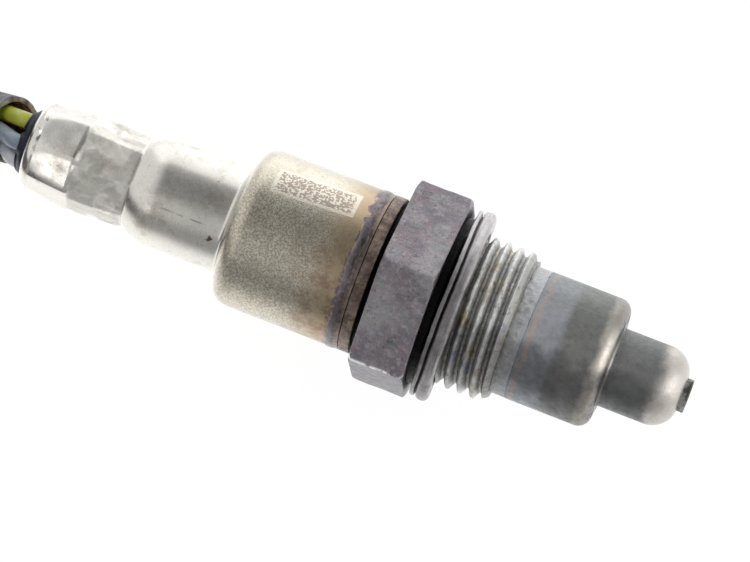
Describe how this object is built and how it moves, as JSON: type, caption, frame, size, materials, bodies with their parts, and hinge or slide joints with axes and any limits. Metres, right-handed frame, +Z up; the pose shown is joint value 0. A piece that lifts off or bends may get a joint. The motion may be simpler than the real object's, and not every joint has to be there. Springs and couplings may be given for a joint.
{
  "type": "oxygen sensor",
  "caption": "Exhaust oxygen sensor with a hexagonal threaded steel body, a closed tip shield, a crimped rear shell and a sleeved lead with its plug.",
  "frame": {"origin": "on the sensor's axis, in the front face of the sealing ring, where it seats on the exhaust boss", "axes": "+X along the axis towards the sensing tip, +Z up with the sensor lying on its sealing ring and a hexagon flat level"},
  "size_m": [0.1809, 0.0987, 0.0257],
  "materials": {
    "body_steel": "turned steel, darkened and mottled by heat, dull on the hexagon",
    "ring_steel": "rolled steel sheet, dull grey",
    "shell_steel": "drawn stainless steel, satin, tinted straw and purple at the weld",
    "shield_steel": "drawn heat-resisting steel, dark and heat-tinted",
    "inner_steel": "bright pressed steel",
    "zirconia": "fired zirconia strip, off-white",
    "ceramic": "fired steatite, off-white and matt",
    "talc": "pressed talc powder",
    "contact_alloy": "plated nickel alloy strip",
    "ptfe": "sintered fluoropolymer, white",
    "grommet_rubber": "fluoroelastomer, dark navy",
    "wire_yellow": "fluoropolymer insulation, yellow-green",
    "wire_grey": "fluoropolymer insulation, blue-grey",
    "wire_white": "fluoropolymer insulation, white",
    "wire_black": "fluoropolymer insulation, black",
    "wire_red": "fluoropolymer insulation, red-orange",
    "sleeve": "braided glass-fibre sleeve, grey outside and brown-beige inside",
    "plug_plastic": "moulded glass-filled nylon, black",
    "seal_rubber": "silicone rubber, rust red",
    "boot_rubber": "moulded rubber, black",
    "terminal_tin": "tinned copper alloy"
  },
  "bodies": {
    "root": {"hex_body": "body_steel", "sealing_ring": "ring_steel", "rear_shell": "shell_steel", "outer_shield": "shield_steel", "inner_shield": "inner_steel", "sensor_element": "zirconia", "front_ceramic": "ceramic", "talc_seal": "talc", "rear_ceramic": "ceramic", "pressure_ring": "inner_steel", "contact_holder_upper": "ceramic", "contact_holder_lower": "ceramic", "holder_clip": "inner_steel", "wire_guide": "ptfe", "grommet": "grommet_rubber", "sleeve_end": "sleeve", "harness_run": "sleeve", "harness_coil": "sleeve", "harness_tail": "sleeve", "plug_housing": "plug_plastic", "plug_boot": "boot_rubber", "plug_face_seal": "seal_rubber", "plug_terminals": "terminal_tin", "plug_latch": "plug_plastic", "trim_resistor": "ceramic", "wire_yellow": "wire_yellow", "contact_yellow": "contact_alloy", "wire_grey": "wire_grey", "contact_grey": "contact_alloy", "wire_white": "wire_white", "contact_white": "contact_alloy", "wire_black": "wire_black", "contact_black": "contact_alloy", "wire_red": "wire_red", "contact_red": "contact_alloy"}
  },
  "joints": []
}
